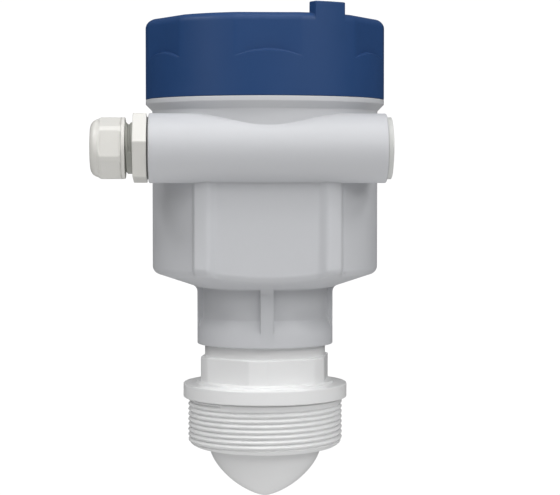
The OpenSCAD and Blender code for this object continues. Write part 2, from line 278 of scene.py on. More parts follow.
def plastic(name, colour, second, roughness, spread=0.05, grain=0.18, grain_size=0.32, mottle=7.0,
            specular=0.5, sheen=0.0, metallic=0.0, soften=0.0, coat=0.0, coat_rough=0.3, anisotropy=0.0, sss=0.0):
    """Moulded plastic, rubber or metal: colour flow, uneven gloss and a fine eroded or turned grain."""
    m, nt = material(name)
    link = nt.links.new
    out = node(nt, "ShaderNodeOutputMaterial")
    sh = node(nt, "ShaderNodeBsdfPrincipled")
    sh.inputs["Metallic"].default_value = metallic
    sh.inputs["Specular IOR Level"].default_value = specular
    sh.inputs["Sheen Weight"].default_value = sheen
    sh.inputs["Coat Weight"].default_value = coat
    sh.inputs["Coat Roughness"].default_value = coat_rough
    sh.inputs["Anisotropic"].default_value = anisotropy
    sh.inputs["Subsurface Weight"].default_value = sss
    sh.inputs["Subsurface Scale"].default_value = 0.002
    link(sh.outputs["BSDF"], out.inputs["Surface"])
    co = node(nt, "ShaderNodeTexCoord")
    # slow colour flow
    flow = node(nt, "ShaderNodeTexNoise", Scale=mottle * 6, Detail=3.0, Roughness=0.55)
    link(co.outputs["Object"], flow.inputs["Vector"])
    speck = node(nt, "ShaderNodeTexNoise", Scale=1400.0, Detail=2.0, Roughness=0.6)
    link(co.outputs["Object"], speck.inputs["Vector"])
    both = node(nt, "ShaderNodeMix", _data_type="FLOAT")
    both.inputs["Factor"].default_value = 0.35
    link(flow.outputs["Fac"], both.inputs["A"])
    link(speck.outputs["Fac"], both.inputs["B"])
    ramp = node(nt, "ShaderNodeValToRGB")
    ramp.color_ramp.elements[0].position = 0.30
    ramp.color_ramp.elements[1].position = 0.70
    ramp.color_ramp.elements[0].color = (*second, 1)
    ramp.color_ramp.elements[1].color = (*colour, 1)
    link(both.outputs["Result"], ramp.inputs["Fac"])
    link(ramp.outputs["Color"], sh.inputs["Base Color"])
    # uneven gloss
    haze = node(nt, "ShaderNodeTexNoise", Scale=130.0, Detail=4.0, Roughness=0.6)
    link(co.outputs["Object"], haze.inputs["Vector"])
    gloss = node(nt, "ShaderNodeMapRange")
    gloss.inputs["From Min"].default_value = 0.3
    gloss.inputs["From Max"].default_value = 0.7
    gloss.inputs["To Min"].default_value = roughness - spread
    gloss.inputs["To Max"].default_value = roughness + spread
    link(haze.outputs["Fac"], gloss.inputs["Value"])
    link(gloss.outputs["Result"], sh.inputs["Roughness"])
    # fine grain of the mould face
    pits = node(nt, "ShaderNodeTexNoise", Scale=1000.0 / grain_size, Detail=2.0, Roughness=0.5)
    link(co.outputs["Object"], pits.inputs["Vector"])
    cells = node(nt, "ShaderNodeTexVoronoi", Scale=700.0 / grain_size)
    link(co.outputs["Object"], cells.inputs["Vector"])
    add = node(nt, "ShaderNodeMath", _operation="MULTIPLY_ADD")
    add.inputs[1].default_value = 0.35
    link(cells.outputs["Distance"], add.inputs[0])
    link(pits.outputs["Fac"], add.inputs[2])
    bump = node(nt, "ShaderNodeBump")
    bump.inputs["Strength"].default_value = grain
    bump.inputs["Distance"].default_value = 0.00006
    link(add.outputs[0], bump.inputs["Height"])
    if soften:
        bevel = node(nt, "ShaderNodeBevel")
        bevel.samples = 6
        bevel.inputs["Radius"].default_value = soften
        link(bevel.outputs["Normal"], bump.inputs["Normal"])
    link(bump.outputs["Normal"], sh.inputs["Normal"])
    return m


def board_material(name):
    """Green solder mask with traces, vias and tinned pads worked out from the object's own coordinates."""
    m, nt = material(name)
    link = nt.links.new
    out = node(nt, "ShaderNodeOutputMaterial")
    sh = node(nt, "ShaderNodeBsdfPrincipled")
    sh.inputs["Coat Weight"].default_value = 0.3
    sh.inputs["Coat Roughness"].default_value = 0.2
    link(sh.outputs["BSDF"], out.inputs["Surface"])
    co = node(nt, "ShaderNodeTexCoord")
    brick = node(nt, "ShaderNodeTexBrick", Scale=260.0)
    brick.inputs["Color1"].default_value = (0.012, 0.10, 0.045, 1)
    brick.inputs["Color2"].default_value = (0.016, 0.125, 0.055, 1)
    brick.inputs["Mortar"].default_value = (0.03, 0.19, 0.085, 1)
    brick.inputs["Mortar Size"].default_value = 0.05
    link(co.outputs["Object"], brick.inputs["Vector"])
    via = node(nt, "ShaderNodeTexVoronoi", Scale=420.0)
    link(co.outputs["Object"], via.inputs["Vector"])
    dot = node(nt, "ShaderNodeMath", _operation="LESS_THAN")
    dot.inputs[1].default_value = 0.16
    link(via.outputs["Distance"], dot.inputs[0])
    mix = node(nt, "ShaderNodeMix", _data_type="RGBA")
    link(dot.outputs[0], mix.inputs["Factor"])
    link(brick.outputs["Color"], mix.inputs[6])
    mix.inputs[7].default_value = (0.55, 0.5, 0.38, 1)
    link(mix.outputs[2], sh.inputs["Base Color"])
    haze = node(nt, "ShaderNodeTexNoise", Scale=300.0, Detail=2.0)
    link(co.outputs["Object"], haze.inputs["Vector"])
    gloss = node(nt, "ShaderNodeMapRange")
    gloss.inputs["To Min"].default_value = 0.3
    gloss.inputs["To Max"].default_value = 0.5
    link(haze.outputs["Fac"], gloss.inputs["Value"])
    link(gloss.outputs["Result"], sh.inputs["Roughness"])
    bump = node(nt, "ShaderNodeBump")
    bump.inputs["Strength"].default_value = 0.3
    bump.inputs["Distance"].default_value = 0.00004
    link(brick.outputs["Fac"], bump.inputs["Height"])
    link(bump.outputs["Normal"], sh.inputs["Normal"])
    return m


HOUSING = plastic("housing_polyester", (0.610, 0.618, 0.640), (0.597, 0.606, 0.628), 0.42, 0.05, 0.16, soften=0.0006, sss=0.0)
WHITE = plastic("fitting_fluoropolymer", (0.875, 0.877, 0.877), (0.858, 0.861, 0.863), 0.36, 0.05, 0.07, 0.5, soften=0.0004)
BLUE = plastic("lid_polyester_blue", (0.019, 0.061, 0.181), (0.018, 0.058, 0.171), 0.45, 0.05, 0.16, specular=0.25, soften=0.0005)
GLAND = plastic("gland_polyamide_grey", (0.750, 0.740, 0.701), (0.730, 0.720, 0.684), 0.33, 0.05, 0.10, 0.4, soften=0.0003)
PLUG = plastic("plug_polyamide_grey", (0.678, 0.684, 0.664), (0.660, 0.666, 0.648), 0.33, 0.05, 0.10, 0.4, soften=0.0003)
SEAL = plastic("seal_rubber_dark", (0.075, 0.08, 0.076), (0.055, 0.058, 0.056), 0.6, 0.07, 0.25, 0.25, sheen=0.05)
# painted shade: a darker copy of the gland polyamide for the exposed cap thread, standing in for the shadow between
# the cap nut and the hexagon
GLAND_THREAD_PAINTED_SHADE = plastic("gland_polyamide_thread_painted_shade", (0.40, 0.405, 0.375), (0.37, 0.375, 0.345), 0.5, 0.05, 0.10, 0.4, soften=0.0003)
GASKET = plastic("gasket_rubber_grey", (0.20, 0.205, 0.195), (0.175, 0.18, 0.17), 0.6, 0.07, 0.25, 0.25, sheen=0.05)
INSERT = plastic("insert_rubber_dark", (0.04, 0.042, 0.045), (0.028, 0.03, 0.032), 0.55, 0.07, 0.25, 0.25, sheen=0.05)
HORN = plastic("turned_stainless", (0.56, 0.56, 0.55), (0.50, 0.50, 0.50), 0.28, 0.06, 0.15, 0.3, metallic=1.0, anisotropy=0.4)
SHIELD = plastic("tinned_shield", (0.62, 0.62, 0.62), (0.55, 0.56, 0.57), 0.32, 0.08, 0.2, 0.4, metallic=1.0)
SPRING = plastic("spring_steel_grey", (0.38, 0.38, 0.39), (0.31, 0.31, 0.32), 0.3, 0.06, 0.15, 0.3, metallic=1.0)
BOARD = board_material("circuit_board_green")
GOLD = plastic("plated_brass", (0.80, 0.58, 0.22), (0.74, 0.53, 0.20), 0.24, 0.06, 0.1, 0.3, metallic=1.0)
CUP = plastic("cup_plastic_black", (0.024, 0.025, 0.027), (0.019, 0.02, 0.022), 0.45, 0.06, 0.25, 0.4)
GREY = plastic("terminal_polyamide", (0.30, 0.31, 0.32), (0.28, 0.29, 0.30), 0.42, 0.06, 0.2, 0.3)
ORANGE = plastic("button_orange_plastic", (0.78, 0.22, 0.02), (0.72, 0.20, 0.02), 0.38, 0.05, 0.15, 0.3)
COPPER = plastic("contact_copper_alloy", (0.72, 0.38, 0.22), (0.66, 0.34, 0.20), 0.26, 0.06, 0.1, 0.3, metallic=1.0)
SCREW = plastic("screw_nickel", (0.55, 0.55, 0.54), (0.48, 0.48, 0.48), 0.27, 0.06, 0.12, 0.3, metallic=1.0)

SLOT = {"fitting_pvdf": WHITE, "housing_plastic": HOUSING, "lid_plastic": BLUE, "gland_polyamide": GLAND, "seal_rubber": SEAL,
        "insert_rubber": INSERT, "horn_metal": HORN, "shield_metal": SHIELD, "spring_steel": SPRING,
        "circuit_board": BOARD, "connector_gold": GOLD, "cup_plastic": CUP, "terminal_grey": GREY,
        "button_orange": ORANGE, "contact_copper": COPPER, "screw_steel": SCREW}

NODE_SLOT = {"spigot_o_rings": "seal_rubber", "retaining_ring": "spring_steel", "horn_antenna": "horn_metal",
             "rf_base": "horn_metal", "rf_board": "circuit_board", "rf_shield": "shield_metal",
             "rf_snap_ring": "spring_steel", "rf_connector": "connector_gold", "rf_lead": "seal_rubber",
             "electronics_cup": "cup_plastic", "main_board": "circuit_board", "power_board": "circuit_board",
             "board_pillars": "connector_gold", "terminal_plate": "cup_plastic", "plate_screws": "screw_steel",
             "terminal_block": "terminal_grey", "terminal_contacts": "contact_copper",
             "terminal_button_1": "button_orange", "terminal_button_2": "button_orange",
             "terminal_button_3": "button_orange", "terminal_button_4": "button_orange",
             "display_socket": "cup_plastic", "ground_strip": "shield_metal", "ground_screw": "screw_steel",
             "lid_seal": "seal_rubber", "gland_insert": "insert_rubber", "gland_gasket": "seal_rubber",
             "plug_seal": "seal_rubber"}


# ------------------------------------------------------------------ sizes shared by the pieces (millimetres)

LID_R, RIM_Z, LID_TOP = 45.9, 114.5, 144.8
BODY_R, CAV_R, NECK_R = 43.4, 40.6, 26.2
SEAL_Z, SLOPE, CONE_Z = 127.0, 0.333, 34.03
ENTRY_X, ENTRY_Y, ENTRY_Z, ENTRY_R = 43.65, -33.7, 95.6, 12.8
PLATE_Z = 81.5
G0, G1 = 0.6, 5.65
N0 = G1 + 2.8
N1 = N0 + 12.8

AT_LEFT = Matrix(((0, 0, -1, -ENTRY_X), (0, 1, 0, ENTRY_Y), (1, 0, 0, ENTRY_Z), (0, 0, 0, 1)))
AT_RIGHT = Matrix(((0, 0, 1, ENTRY_X), (0, 1, 0, ENTRY_Y), (-1, 0, 0, ENTRY_Z), (0, 0, 0, 1)))


# ------------------------------------------------------------------ process fitting

def thread_radius(deg, z):
    """Parallel thread of the fitting: V grooves that start in one flank and run down to the right-hand helix."""
    major, pitch, depth = 29.8, 1.975, 0.95
    phi = wrap_deg(deg + 90)                       # angle from the front towards +X
    psi = np.where(phi <= -36, phi + 36, phi + 36 - 360)
    u = (z + 1.53 - pitch * psi / 360) / pitch      # 0 at the first groove, -1 at the next
    near = np.abs(u - np.minimum(np.round(u), 0))
    v = np.clip((near - 0.06) / 0.34, 0, 1)
    cut = depth * (1 - v)
    cut = cut * np.where(u > -0.5, smooth((-psi) / 3.0), 1.0)
    r = major - cut
    r = np.where(z > -0.55, np.minimum(r, 29.25), r)
    return r


def end_radius(z):
    """The rounded lower end of the thread."""
    pts = [(-16.3, 29.8), (-16.9, 29.62), (-17.6, 29.1), (-18.3, 28.35), (-18.9, 27.3), (-19.25, 26.3), (-19.45, 25.3)]
    zs = [p[0] for p in pts][::-1]
    rs = [p[1] for p in pts][::-1]
    return float(np.interp(z, zs, rs))


def dome(r, h, z, n):
    """Outline of the lens: (radius, height) from its base down to its tip."""
    out = []
    for i in range(n, -1, -1):
        t = (i / n) ** 1.4
        out.append((r * (1 - (1 - t) ** 1.6) ** 0.685, z - h * (1 - t)))
    return out


def build_fitting():
    # angles with the hexagon's flats' ends among them
    half = math.degrees(math.acos(47.5 / 51.4))
    deg = []
    for k in range(6):
        c = -97.8 + 60 * k
        for a, b, n in ((c - (30 - half), c + (30 - half), 10), (c + (30 - half), c + 60 - (30 - half), 32)):
            deg += [a + (b - a) * i / n for i in range(n)]
    deg = np.array(deg)
    th = np.radians(deg)
    hexr = np.minimum(hexagon(deg, 47.5, -97.8), 25.7)
    rows = []

    def add(r, z):
        rows.append(ring(r, z, th))

    for r, z in rounded([(18.4, 47.5, 0.3), (21.2, 47.5, 0.3), (22.0, 46.7, 0.3), (22.0, 46.1), (20.7, 46.05), (20.7, 44.55),
                         (22.0, 44.55), (22.0, 35.6, 0.15), (20.2, 35.6), (20.2, 33.0), (22.0, 33.0, 0.15),
                         (22.0, 28.6, 0.15), (20.2, 28.6), (20.2, 26.0), (22.0, 26.0, 0.15),
                         (22.0, 20.65), (23.3, 20.65, 0.25), (23.3, 16.3), (23.45, 16.1)], closed=False):
        add(r, z)
    # hexagon: soft top edge, faces, foot
    for k in range(5):
        a = math.pi / 2 * k / 4
        add(hexr - 0.35 * (1 - math.sin(a)), 16.1 - 0.35 * (1 - math.cos(a)))
    add(hexr, 12.0)
    add(hexr, 8.0)
    add(hexr, 6.9)
    add(hexr + 0.06, 6.72)
    foot = np.maximum(hexr, 26.0)
    add(hexr * 0.7 + foot * 0.3, 6.55)
    add(foot, 6.4)
    add(foot + 0.2, 6.2)
    add(foot + 0.28, 5.65)
    add(foot + 0.5, 5.4)
    # flange
    for r, z in rounded([(30.5, 5.4), (31.65, 5.4, 0.45, 5), (31.65, 0.0, 0.35, 4), (30.6, 0.0)], closed=False):
        add(r, z)
    add(29.25, 0.0)
    add(29.25, -0.5)
    # threaded length
    z = -0.6
    step = 1.975 / 17
    while z > -19.36:
        add(np.minimum(thread_radius(deg, z), end_radius(z)), z)
        z -= step
    add(25.3, -19.45)
    for r, zz in dome(21.6, 19.5, -19.45, 40):
        add(r, zz)
    # inside, from the tip of the cavity up
    inner = [(17.9, -17.6), (17.9, -20.0)] + dome(17.9, 16.4, -20.0, 24)[1:]
    for r, zz in reversed(inner):
        add(r, zz)
    for r, zz in [(18.4, -17.6), (18.4, 41.5), (19.4, 41.5), (19.4, 42.75), (18.4, 42.75)]:
        add(r, zz)
    return skin("process_fitting_body", rows)


fitting = build_fitting()
finish_piece(fitting, WHITE, "process_fitting", ["process_fitting"])


# ------------------------------------------------------------------ housing

def front_plan(z):
    """Outline at height z: back edge inside the body, side wall, strip, panel, strip, side wall."""
    t = (83 - z) / 33
    panel = -36.2 - 0.55 * t
    inner, outer = -37.6 - 1.7 * t, -35.4 - 1.6 * t
    half = [(28.75, 10), (28.75, -32.52), (27.85, -33.25, 1.2, 3), (27.1, outer, 1.2, 5), (24.3, (inner + outer) / 2 - 0.16, 6.0, 2),
            (21.9, inner, 2.2, 5), (19.0, panel, 2.6, 4)]
    pts = rounded([(-x, *rest) for x, *rest in half] + half[::-1])
    return pts


def build_front():
    """Panel and strips, tapered upwards, trimmed below by the body's cone and rounded into it."""
    ref = front_plan(50.0)
    steps = [max(1, int(round(math.dist(ref[i], ref[(i + 1) % len(ref)]) / 1.2))) for i in range(len(ref))]

    def plan(z):
        pts = front_plan(z)
        out = []
        for i, k in enumerate(steps):
            p, q = pts[i], pts[(i + 1) % len(pts)]
            out += [(p[0] + (q[0] - p[0]) * j / k, p[1] + (q[1] - p[1]) * j / k) for j in range(k)]
        return np.array(out)

    rows = [[(0, 0, 88.0)]]
    for z in (88.0, 84.0, 78.0, 72.0, 66.0, 60.0, 56.0):
        rows.append([(x, y, z) for x, y in plan(z)])
    pts = plan(49.5)
    rho = np.hypot(pts[:, 0], pts[:, 1])
    cone = CONE_Z + SLOPE * rho
    rad = 3.2
    zc = cone + rad * math.sqrt(1 + SLOPE ** 2) - SLOPE * rad
    full = math.pi / 2 - math.atan(SLOPE)
    for k in range(11):
        a = full * k / 10
        inward = rad * (1 - math.cos(a))
        q = 1 - inward / rho
        rows.append([(x * s, y * s, z) for (x, y), s, z in zip(pts, q, zc - rad * math.sin(a))])
    first = inward / rho
    for f in (0.25, 0.6, 0.85):
        q = (1 - first) * (1 - f)
        rows.append([(x * s, y * s, CONE_Z + SLOPE * r * s) for (x, y), s, r in zip(pts, q, rho)])
    rows.append([(0, 0, CONE_Z)])
    return skin("front_block", rows, wrap=False)


def build_housing():
    seg = 288
    th = np.arange(seg) * TAU / seg
    deg = np.degrees(th)
    cone0 = (28.2, CONE_Z + SLOPE * 28.2)
    corner = (BODY_R, cone0[1] + SLOPE * (BODY_R - cone0[0]))
    throat = (NECK_R, cone0[1] - SLOPE * (cone0[0] - NECK_R))
    rows = [ring(0, 20.7, th)]
    for r, z in rounded([(20, 20.7), (NECK_R, 20.7, 0.35), (*throat, 3.0, 8), (*corner, 3.2, 10), (BODY_R, RIM_Z - 4.3, 0.5),
                         (LID_R, RIM_Z - 1.8, 0.3), (LID_R, RIM_Z, 0.2), (43.0, RIM_Z), (43.0, RIM_Z + 0.6)], closed=False):
        rows.append(ring(r, z, th))
    # coarse thread for the lid, cut into the spigot
    z = RIM_Z + 0.7
    while z < SEAL_Z - 1.1:
        u = ((z - RIM_Z) - 4.0 * deg / 360) / 4.0
        near = np.abs(u - np.round(u)) * 4.0
        cut = 0.62 * (1 - smooth((near - 0.75) / 0.55))
        cut = cut * smooth((z - RIM_Z - 0.8) / 0.9) * smooth((SEAL_Z - 1.6 - z) / 0.8)
        rows.append(ring(43.0 - cut, z, th))
        z += 0.25
    for r, z in rounded([(43.0, SEAL_Z - 0.95), (43.0, SEAL_Z - 0.8, 0.2), (42.2, SEAL_Z, 0.2), (41, SEAL_Z)], closed=False):
        rows.append(ring(r, z, th))
    rows.append(ring(0, SEAL_Z, th))
    body = skin("housing_shell", rows)

    # room for the panel and its two strips, then both as one block with a soft lower edge
    boolean(body, box_solid("front_sector", (-28.7, -60, 30.2), (28.7, -32.0, 94.0)), "DIFFERENCE")
    boolean(body, build_front(), "UNION")
    # cable entry tube along X
    tube = turned("tube", rounded([(0, -ENTRY_X), (ENTRY_R, -ENTRY_X, 0.55, 5), (ENTRY_R, ENTRY_X, 0.55, 5), (0, ENTRY_X)]), 216)
    place(tube, Matrix(((0, 0, 1, 0), (0, 1, 0, ENTRY_Y), (-1, 0, 0, ENTRY_Z), (0, 0, 0, 1))))
    boolean(body, tube, "UNION")

    # chamber with a flat front below the cable entries, room for the retaining ring, neck bore
    room = turned("room", [(0, 10), (22.08, 10), (22.08, 44.5), (25.5, 44.5), (25.5, 45.7), (CAV_R, 50.6), (CAV_R, 140), (0, 140)], 240)
    boolean(room, box_solid("flat_front", (-50, -60, 40), (50, -33.5, ENTRY_Z - 7.2)), "DIFFERENCE")
    boolean(body, room, "DIFFERENCE")
    for a in (90, 210, 330):
        x, y = 38.2 * math.cos(math.radians(a)), 38.2 * math.sin(math.radians(a))
        post = turned("post", [(0, 48.3), (3.2, 48.3), (3.2, PLATE_Z), (0, PLATE_Z)], 48)
        place(post, Matrix.Translation((x, y, 0)))
        boolean(body, post, "UNION")
        hole = turned("hole", [(0, PLATE_Z - 12), (1.25, PLATE_Z - 12), (1.25, PLATE_Z + 2), (0, PLATE_Z + 2)], 32)
        place(hole, Matrix.Translation((x, y, 0)))
        boolean(body, hole, "DIFFERENCE")
    # cable entries, with a threaded length
    for side in (AT_LEFT, AT_RIGHT):
        th2 = np.arange(96) * TAU / 96
        rows = [ring(0, 1.0, th2), ring(10.45, 1.0, th2), ring(10.45, 0.0, th2), ring(10.0, -0.45, th2)]
        z = -0.7
        while z > -10.4:
            u = (z + 1.5 * np.degrees(th2) / 360) / 1.5
            near = np.abs(u - np.round(u))
            rows.append(ring(10.0 + 0.5 * (1 - smooth((near - 0.12) / 0.25)) * min(1, (z + 10.4) / 0.6, (-z - 0.6) / 0.4), z, th2))
            z -= 0.15
        rows += [ring(10.0, -10.6, th2), ring(9.2, -10.6, th2), ring(9.2, -29.6, th2), ring(0, -29.6, th2)]
        cutter = skin("entry", rows, wrap=False)
        place(cutter, side)
        boolean(body, cutter, "DIFFERENCE")
    # recesses between the four ribs of the neck
    neck = turned("recess", rounded([(24.2, 31.0, 0.8), (26.5, 25.3), (30, 25.6), (30, 43), (24.2, 43.0, 0.8)]), 240)
    boolean(neck, box_solid("rib_x", (-40, -2.52, 20), (40, 2.52, 50)), "DIFFERENCE")
    boolean(neck, box_solid("rib_y", (-2.52, -40, 20), (2.52, 40, 50)), "DIFFERENCE")
    boolean(body, neck, "DIFFERENCE")
    return body


housing = build_housing()
finish_piece(housing, HOUSING, "housing", ["housing"])


# ------------------------------------------------------------------ lid

def build_lid():
    seg = 360
    th = np.arange(seg) * TAU / seg
    deg = np.degrees(th)
    flat_r = LID_R - 1.6
    side = (deg + 90) % 60
    side = np.where(side > 30, side - 60, side)
    cosd = np.cos(np.radians(side))
    # the ledge under each flat is arched, so the rows follow it
    arch = -2.5 * np.minimum(np.abs(side) / 15.2, 1) ** 2

    def radius(z, limit):
        # upright above, then a short ledge out to the full radius
        dist = flat_r + 2.0 * float(smooth((131.5 - z) / 0.8))
        return softmin(np.full(seg, limit), dist / cosd, 0.18)

    rows = [ring(43.08, 114.55, th)]
    for r, z in rounded([(43.4, 114.55), (LID_R, 114.55, 0.3, 4), (LID_R, 126.0)], closed=False):
        rows.append(ring(r, z, th))
    for z in np.concatenate([np.arange(127.5, 130.5, 0.6), np.arange(130.6, 131.6, 0.07), np.arange(131.9, 141.3, 1.2)]):
        bend = arch * float(smooth((z - 126.4) / 4.5) * smooth((141.5 - z) / 8.0))
        rows.append(ring(radius(z, LID_R), z + bend, th))
    cr, cz = LID_R - 3.1, LID_TOP - 3.1
    for k in range(15):
        a = math.pi / 2 * k / 14
        rr, zz = cr + 3.1 * math.cos(a), cz + 3.1 * math.sin(a)
        rows.append(ring(radius(zz, LID_R) - (LID_R - rr), zz, th))
    rows.append(ring(30, LID_TOP, th))
    rows.append(ring(0, LID_TOP, th))
    # inside
    top = LID_TOP - 3
    for r, z in [(0, top), (CAV_R - 2.2, top), (CAV_R - 0.2, LID_TOP - 5), (CAV_R - 0.2, SEAL_Z + 2.45), (43.08, SEAL_Z + 2.45)]:
        rows.append(ring(r, z, th))
    z = SEAL_Z + 1.6
    while z > 115.4:
        u = ((z - RIM_Z) - 4.0 * deg / 360 - 2.0) / 4.0
        near = np.abs(u - np.round(u)) * 4.0
        grow = 0.55 * (1 - smooth((near - 0.75) / 0.55)) * min(1, (z - 115.4) / 0.8, (SEAL_Z + 1.7 - z) / 0.6)
        rows.append(ring(43.08 + grow, z, th))
        z -= 0.3
    lid_ob = skin("lid_shell", rows)

    # lug on the rim, flush with the side
    plan = outline([(LID_R - 5.1, -6.4, 0.5), (LID_R + 1.4, -6.4), (LID_R + 1.4, 6.4), (LID_R - 5.1, 6.4, 0.5)], 3)
    lug = prism("lug", plan, LID_TOP - 8, LID_TOP + 4.1, 0.45)
    round_side = turned("round_side", [(0, 100), (LID_R - 0.004, 100), (LID_R - 0.004, LID_TOP + 3.65)] +
                        [(LID_R - 0.45 + 0.446 * math.cos(a), LID_TOP + 3.65 + 0.45 * math.sin(a)) for a in (0.3, 0.7, 1.1, 1.5)] +
                        [(LID_R - 0.6, LID_TOP + 4.5), (0, LID_TOP + 4.5)], 360)
    place(lug, Matrix.Rotation(math.radians(-60), 4, "Z"))
    boolean(lug, round_side, "INTERSECT")
    boolean(lid_ob, lug, "UNION")
    return lid_ob


lid = build_lid()
finish_piece(lid, BLUE, "lid", ["lid"])


# ------------------------------------------------------------------ cable gland

def m20_thread(deg, w, crest, depth, pitch=1.5):
    u = (w - pitch * deg / 360) / pitch
    near = np.abs(u - np.round(u))
    return crest - depth * (1 - smooth((near - 0.1) / 0.32))


def build_gland_body():
    seg = 216
    th = np.arange(seg) * TAU / seg
    deg = np.degrees(th)
    hexr = hexagon(deg, 23.6, -20.7)
    rows = [ring(6.5, -10.0, th), ring(9.2, -10.0, th)]
    for w in np.arange(-9.7, -0.3, 0.15):
        rows.append(ring(m20_thread(deg, w, 9.96, 0.8 * min(1, (w + 9.8) / 0.6, (-0.25 - w) / 0.6)), w, th))
    rows.append(ring(9.6, -0.2, th))
    rows.append(ring(9.6, G0, th))
    for k in range(6):
        a = math.pi / 2 * k / 5
        rows.append(ring(np.minimum(hexr, 13.35 + 0.28 * math.sin(a)) - 0.22 * (1 - math.sin(a)), G0 + 0.22 * (1 - math.cos(a)), th))
    for k in range(6):
        a = math.pi / 2 * k / 5
        rows.append(ring(np.minimum(hexr, 13.35 + 0.28 * math.cos(a)) - 0.22 * (1 - math.cos(a)), G1 - 0.22 + 0.22 * math.sin(a), th))
    rows.append(ring(9.7, G1, th))
    # cap thread, with one groove that stops short near the hexagon
    beta = wrap_deg(-deg)                              # from the top over the front
    psi = np.where(beta <= 103, beta - 103, beta - 463)
    crest, depth, pitch = 9.44, 0.72, 2.04
    for w in np.arange(G1 + 0.12, N0 + 5.35, 0.12):
        u = (w - 6.70 + pitch * psi / 360) / pitch     # 0 on the first groove, 1 on the next
        near = np.abs(u - np.maximum(np.round(u), 0))
        cut = depth * (1 - smooth((near - 0.06) / 0.36))
        cut = cut * np.where(u < 0.5, smooth(-psi / 6.0), 1.0)
        rows.append(ring(crest - cut * min(1, (N0 + 5.4 - w) / 0.5), w, th))
    rows += [ring(8.0, N0 + 5.4, th), ring(8.0, N0 + 8.2, th), ring(7.8, N0 + 8.4, th), ring(7.25, N0 + 8.4, th),
             ring(7.25, N0 - 0.6, th), ring(6.5, N0 - 0.6, th)]
    body = skin("gland_body_shell", rows)
    for a in (0, 45, 90, 135):
        slit = box_solid("slit", (-12, -0.4, N0 + 5.6), (12, 0.4, N0 + 12))
        place(slit, Matrix.Rotation(math.radians(a), 4, "Z"))
        boolean(body, slit, "DIFFERENCE")
    return place(body, AT_LEFT)


def build_cap_nut():
    flat, trim = 20.6, 11.35
    half = math.degrees(math.acos(flat / 2 / trim))
    turn = 8.9
    deg = []
    for k in range(6):
        c = turn + 60 * k
        for a, b, n in ((c - (30 - half), c + (30 - half), 10), (c + (30 - half), c + 60 - (30 - half), 26)):
            deg += [a + (b - a) * i / n for i in range(n)]
    deg = np.array(deg)
    th = np.radians(deg)
    hexr = hexagon(deg, flat, turn)
    rows = []

    def add(r, w):
        rows.append(ring(r, w, th))

    for r, w in rounded([(9.5, N0), (11.3, N0, 0.35), (11.3, N0 + 1.3, 0.35), (10.95, N0 + 1.35)], closed=False):
        add(r, w)
    shelf = N0 + 1.35
    fil = 0.7
    for k in range(9):
        a = math.pi / 2 * k / 8
        # concave foot between the collar and the flats
        add(np.minimum(hexr + fil * (1 - math.sin(a)), 11.32), shelf + fil * (1 - math.cos(a)) + 0.01)
    for w in (shelf + 1.6, shelf + 4.0, N0 + 8.4):
        add(np.minimum(hexr, trim), w)
    dome_r, dome_round = 10.6, 3.2

    def rev(w):
        if w <= N0 + 8.9:
            return trim
        base = trim - (w - N0 - 8.9) * 0.75 / 1.2
        if w <= N1 - dome_round:
            return max(base, dome_r)
        d = w - (N1 - dome_round)
        arc = dome_r - dome_round + math.sqrt(max(0, dome_round ** 2 - d ** 2))
        return max(base, arc) if w < N0 + 10.4 else arc

    for w in np.arange(N0 + 8.7, N1 - 2.2, 0.12):
        lift = 0.9 * float(smooth((w - N0 - 8.8) / 1.5))
        # a shallow hollow where each flat runs into the dome
        hollow = 0.28 * math.exp(-((w - N0 - 9.3) / 0.45) ** 2)
        add(softmin(np.full(len(deg), rev(w)), hexr + lift, 0.12) - hollow * np.clip((11.3 - hexr) / 1.0, 0, 1), w)
    for k in range(9):
        d0 = N1 - 2.2 - (N1 - dome_round)
        a0 = math.asin(d0 / dome_round)
        a = a0 + (math.pi / 2 - a0) * k / 8
        add(dome_r - dome_round + dome_round * math.cos(a), N1 - dome_round + dome_round * math.sin(a))
    for r, w in rounded([(6.2, N1), (5.6, N1, 0.35), (5.6, N0 + 11.9), (6.4, N0 + 11.6), (9.0, N0 + 8.9), (9.5, N0 + 8.9),
                         (9.5, N0 + 0.3)], closed=False):
        add(r, w)
    return place(skin("gland_cap", rows), AT_LEFT)


def build_plug():
    seg = 180
    th = np.arange(seg) * TAU / seg
    deg = np.degrees(th)
    rows = [ring(7.6, -9.0, th), ring(9.3, -9.0, th)]
    for w in np.arange(-8.8, -0.3, 0.15):
        rows.append(ring(m20_thread(deg, w, 9.9, 0.8 * min(1, (w + 8.9) / 0.6, (-0.25 - w) / 0.6)), w, th))
    rows += [ring(9.5, -0.2, th), ring(9.5, 0.6, th)]
    for r, w in rounded([(10.6, 0.6), (10.95, 0.6), (10.95, 0.12), (11.4, 0.12, 0.12), (11.4, 1.75, 0.3), (11.1, 1.92)], closed=False):
        rows.append(ring(r, w, th))
    for i in range(1, 13):
        r = 11.1 * (1 - i / 13)
        rows.append(ring(r, 2.7 - (r / 11.2) ** 2 * 0.79, th))
    rows += [ring(0, 2.7, th), ring(0, -1.0, th), ring(7.6, -1.0, th)]
    plug = skin("plug_shell", rows)
    hexd = np.arange(6) * 60.0
    plan = [(5 / math.cos(math.radians(30)) * math.cos(math.radians(a)), 5 / math.cos(math.radians(30)) * math.sin(math.radians(a))) for a in hexd]
    key = prism("key", outline([(x, y, 0.3) for x, y in plan], 20), 0.5, 4.0)
    boolean(plug, key, "DIFFERENCE")
    return place(plug, AT_RIGHT)


gland_body = finish_piece(build_gland_body(), GLAND, "housing", ["gland_body"], sharp=28)
